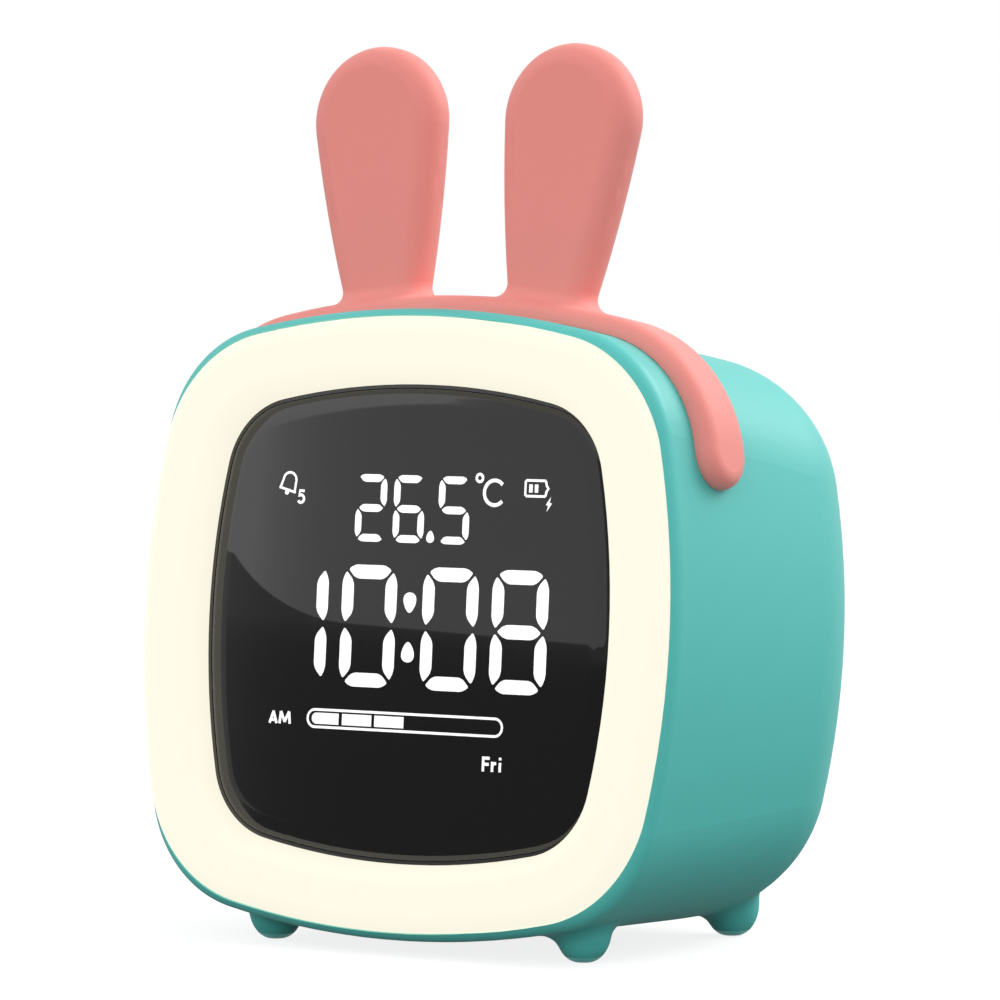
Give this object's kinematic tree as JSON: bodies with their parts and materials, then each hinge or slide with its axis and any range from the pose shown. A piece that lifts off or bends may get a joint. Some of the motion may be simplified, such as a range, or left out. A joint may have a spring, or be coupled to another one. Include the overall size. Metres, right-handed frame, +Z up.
{
  "type": "alarm clock",
  "caption": "Bedside alarm clock with a squircle turquoise housing, a glowing cream night-light ring round a dark display, and a pink two-eared saddle.",
  "frame": {"origin": "on the surface that the clock stands on, under the middle of its bounding box", "axes": "+Z up, -Y towards the display side, +X to the right for someone who faces the display"},
  "size_m": [0.1084, 0.081, 0.1509],
  "materials": {
    "shell": "satin",
    "diffuser": "satin",
    "lens": "gloss",
    "ears": "matte",
    "keys": "satin",
    "film": "matte",
    "white_plastic": "satin",
    "lamps": "gloss",
    "board": "satin",
    "screws": "satin",
    "foam": "matte",
    "cell": "satin",
    "chips": "matte",
    "socket": "satin",
    "speaker": "satin",
    "paper": "matte",
    "copper": "satin",
    "lead_red": "satin",
    "lead_black": "satin",
    "lead_white": "satin",
    "ribbon": "satin"
  },
  "bodies": {
    "root": {"body_shell": "shell", "light_ring": "diffuser", "window_lens": "lens", "window_seal": "foam", "ear_band": "ears", "display_film": "film", "display_reflector": "white_plastic", "display_leds": "lamps", "display_board": "board", "display_screws": "screws", "chassis": "white_plastic", "ring_led_board": "board", "ring_leds": "lamps", "battery_pad": "foam", "battery_cell": "cell", "main_board": "board", "board_screws": "screws", "board_chips": "chips", "switch_bodies": "chips", "usb_socket": "socket", "temperature_sensor": "chips", "speaker_gasket": "foam", "speaker_frame": "speaker", "speaker_cone": "paper", "touch_plate": "copper", "case_screws": "screws", "battery_lead": "lead_red", "speaker_lead": "lead_black", "ring_lead": "lead_white", "touch_lead": "lead_black", "lead_plugs": "white_plastic", "display_ribbon": "ribbon"},
    "alarm_key": {"alarm_button": "keys", "alarm_plunger": "chips"},
    "up_key": {"up_button": "keys", "up_plunger": "chips"},
    "down_key": {"down_button": "keys", "down_plunger": "chips"},
    "mode_key": {"mode_button": "keys", "mode_plunger": "chips"}
  },
  "joints": [
    {"name": "alarm_press", "type": "slide", "parent": "root", "child": "alarm_key", "axis": [0, -0.9968, 0.0793], "range_m": [0, 0.0006], "stiffness_N_per_m": 1200, "springref_m": -0.0003},
    {"name": "up_press", "type": "slide", "parent": "root", "child": "up_key", "axis": [0, -0.9968, 0.0793], "range_m": [0, 0.0006], "stiffness_N_per_m": 1200, "springref_m": -0.0003},
    {"name": "down_press", "type": "slide", "parent": "root", "child": "down_key", "axis": [0, -0.9968, 0.0793], "range_m": [0, 0.0006], "stiffness_N_per_m": 1200, "springref_m": -0.0003},
    {"name": "mode_press", "type": "slide", "parent": "root", "child": "mode_key", "axis": [0, -0.9968, 0.0793], "range_m": [0, 0.0006], "stiffness_N_per_m": 1200, "springref_m": -0.0003}
  ]
}
